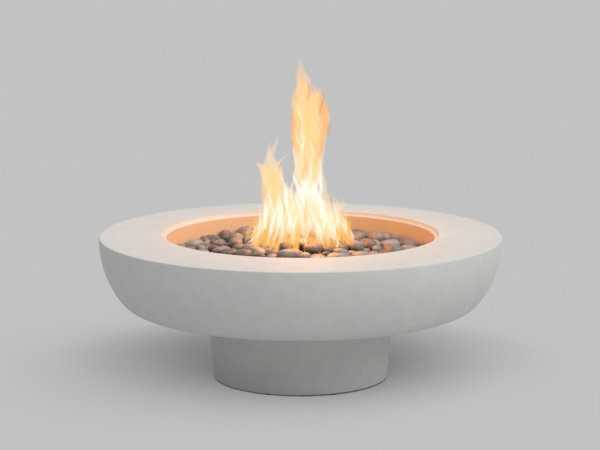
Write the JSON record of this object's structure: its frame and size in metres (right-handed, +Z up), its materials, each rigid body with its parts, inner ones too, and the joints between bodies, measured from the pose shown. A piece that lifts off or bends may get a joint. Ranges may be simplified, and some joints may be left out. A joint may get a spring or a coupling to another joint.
{
  "type": "fire bowl",
  "caption": "Round cast-concrete gas fire bowl with a broad flat rim on a tapered pedestal, with a ring burner under tumbled lava stones and a valve knob at the back.",
  "frame": {"origin": "on the floor under the centre of the bowl", "axes": "+Z up along the bowl's axis, -Y to the pictured side, +Y to the valve knob"},
  "size_m": [1.22, 1.22, 0.445],
  "materials": {
    "cast_concrete": "smooth cast glass-fibre concrete, sealed",
    "lava_stone": "tumbled, matte",
    "stainless_steel": "brushed",
    "zinc_steel": "zinc plated",
    "brass": "machined",
    "rubber": "moulded",
    "ptfe": "machined",
    "knob_metal": "satin"
  },
  "bodies": {
    "base": {"bowl_shell": "cast_concrete", "pedestal_shell": "cast_concrete", "lava_stones": "lava_stone", "burner_pan": "stainless_steel", "burner_outer_ring": "stainless_steel", "burner_inner_ring": "stainless_steel", "burner_spokes": "stainless_steel", "burner_hub": "stainless_steel", "burner_feet": "stainless_steel", "feed_tube": "stainless_steel", "knob_bezel": "stainless_steel", "pedestal_bolts": "zinc_steel", "bolt_washers": "zinc_steel", "burner_nipple": "zinc_steel", "pan_locknuts": "zinc_steel", "air_mixer": "zinc_steel", "bowl_inserts": "brass", "gas_orifice": "brass", "tube_nuts": "brass", "valve_body": "brass", "inlet_fitting": "brass", "valve_nut": "brass", "pedestal_gasket": "rubber", "foot_pads": "rubber", "valve_seats": "ptfe", "stem_packing": "ptfe"},
    "knob": {"control_knob": "knob_metal", "knob_screw": "stainless_steel", "valve_stem": "stainless_steel", "valve_ball": "brass"},
    "shutter": {"air_shutter": "stainless_steel"}
  },
  "joints": [
    {"name": "valve_turn", "type": "hinge", "parent": "base", "child": "knob", "pos_m": [0, 0.2646, 0.095], "axis": [0, -1, 0], "range_deg": [0, 90]},
    {"name": "shutter_turn", "type": "hinge", "parent": "base", "child": "shutter", "pos_m": [0, 0, 0.3003], "axis": [0, 0, 1], "range_deg": [0, 45]}
  ]
}
